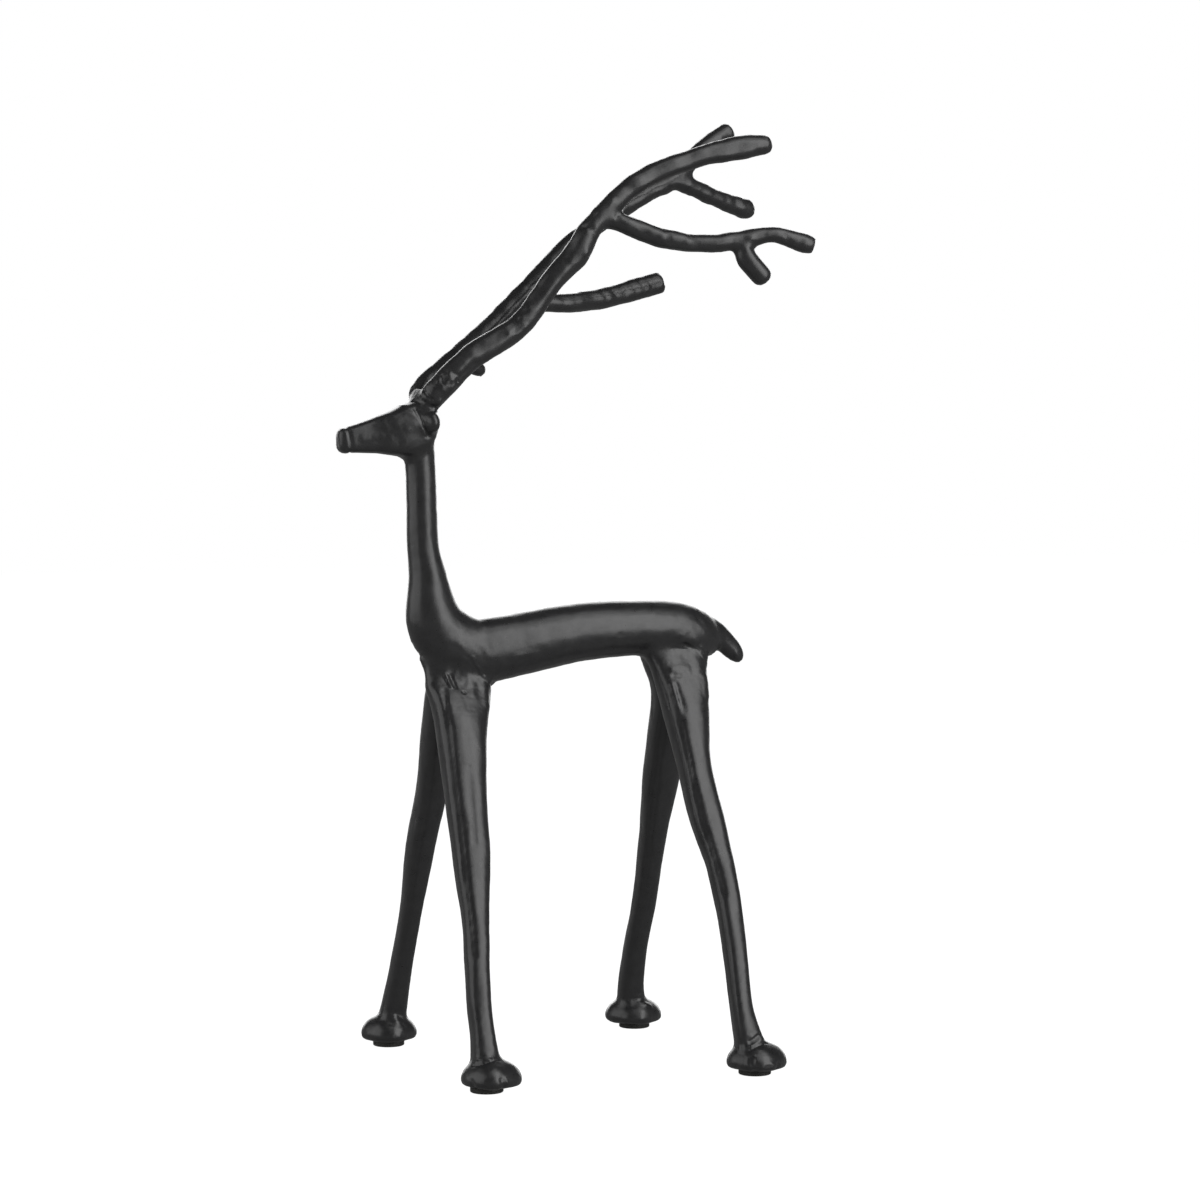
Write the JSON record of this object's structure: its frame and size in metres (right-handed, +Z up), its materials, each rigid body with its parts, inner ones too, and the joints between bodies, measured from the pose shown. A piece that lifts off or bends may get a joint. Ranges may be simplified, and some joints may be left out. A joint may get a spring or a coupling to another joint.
{
  "type": "stag statue",
  "caption": "Slender cast iron stag standing on splayed legs, with swept-back branching antlers and round rubber foot pads, for a shelf or mantel.",
  "frame": {"origin": "on the ground, under the middle of the stag's bounding box", "axes": "+Z up; the stag faces -X, so its left side is -Y and its tail points to +X"},
  "size_m": [0.2542, 0.1806, 0.5021],
  "materials": {
    "black_cast_iron": "satin black paint over a lightly grained casting",
    "black_rubber": "matt"
  },
  "bodies": {
    "root": {"stag": "black_cast_iron", "foot_pad_front_left": "black_rubber", "foot_pad_front_right": "black_rubber", "foot_pad_hind_left": "black_rubber", "foot_pad_hind_right": "black_rubber"}
  },
  "joints": []
}
